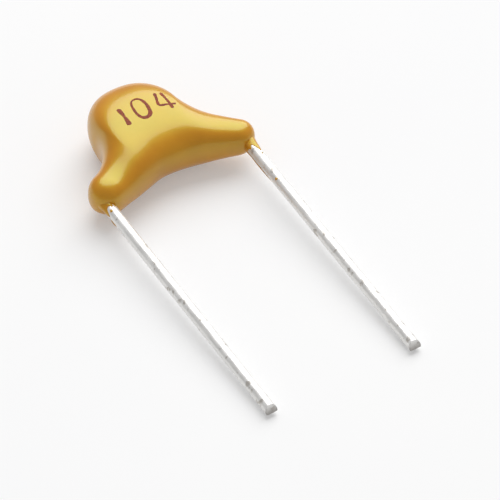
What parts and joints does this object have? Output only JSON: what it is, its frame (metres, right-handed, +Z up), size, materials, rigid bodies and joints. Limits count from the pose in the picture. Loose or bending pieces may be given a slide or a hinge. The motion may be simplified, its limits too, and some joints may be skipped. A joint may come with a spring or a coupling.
{
  "type": "multilayer ceramic capacitor",
  "caption": "Small mustard-yellow dipped ceramic capacitor with a round head, two shoulders and two straight tinned leads, lying flat.",
  "frame": {"origin": "under the middle of the part's box, on the surface that it lies on", "axes": "+Z up from that surface, +Y from the lead tips toward the head, +X along the lead pitch"},
  "size_m": [0.0058, 0.0133, 0.0019],
  "materials": {
    "epoxy": "gloss",
    "tinned_wire": "satin",
    "solder": "satin",
    "termination": "matte",
    "electrode": "satin",
    "dielectric": "matte"
  },
  "bodies": {
    "root": {"ceramic_block": "dielectric", "epoxy_coating": "epoxy", "left_electrode_01": "electrode", "left_electrode_02": "electrode", "left_electrode_03": "electrode", "left_electrode_04": "electrode", "left_electrode_05": "electrode", "left_electrode_06": "electrode", "left_electrode_07": "electrode", "left_electrode_08": "electrode", "left_electrode_09": "electrode", "left_electrode_10": "electrode", "left_electrode_11": "electrode", "left_electrode_12": "electrode", "left_lead": "tinned_wire", "left_solder_joint": "solder", "left_termination": "termination", "right_electrode_01": "electrode", "right_electrode_02": "electrode", "right_electrode_03": "electrode", "right_electrode_04": "electrode", "right_electrode_05": "electrode", "right_electrode_06": "electrode", "right_electrode_07": "electrode", "right_electrode_08": "electrode", "right_electrode_09": "electrode", "right_electrode_10": "electrode", "right_electrode_11": "electrode", "right_electrode_12": "electrode", "right_lead": "tinned_wire", "right_solder_joint": "solder", "right_termination": "termination"}
  },
  "joints": []
}
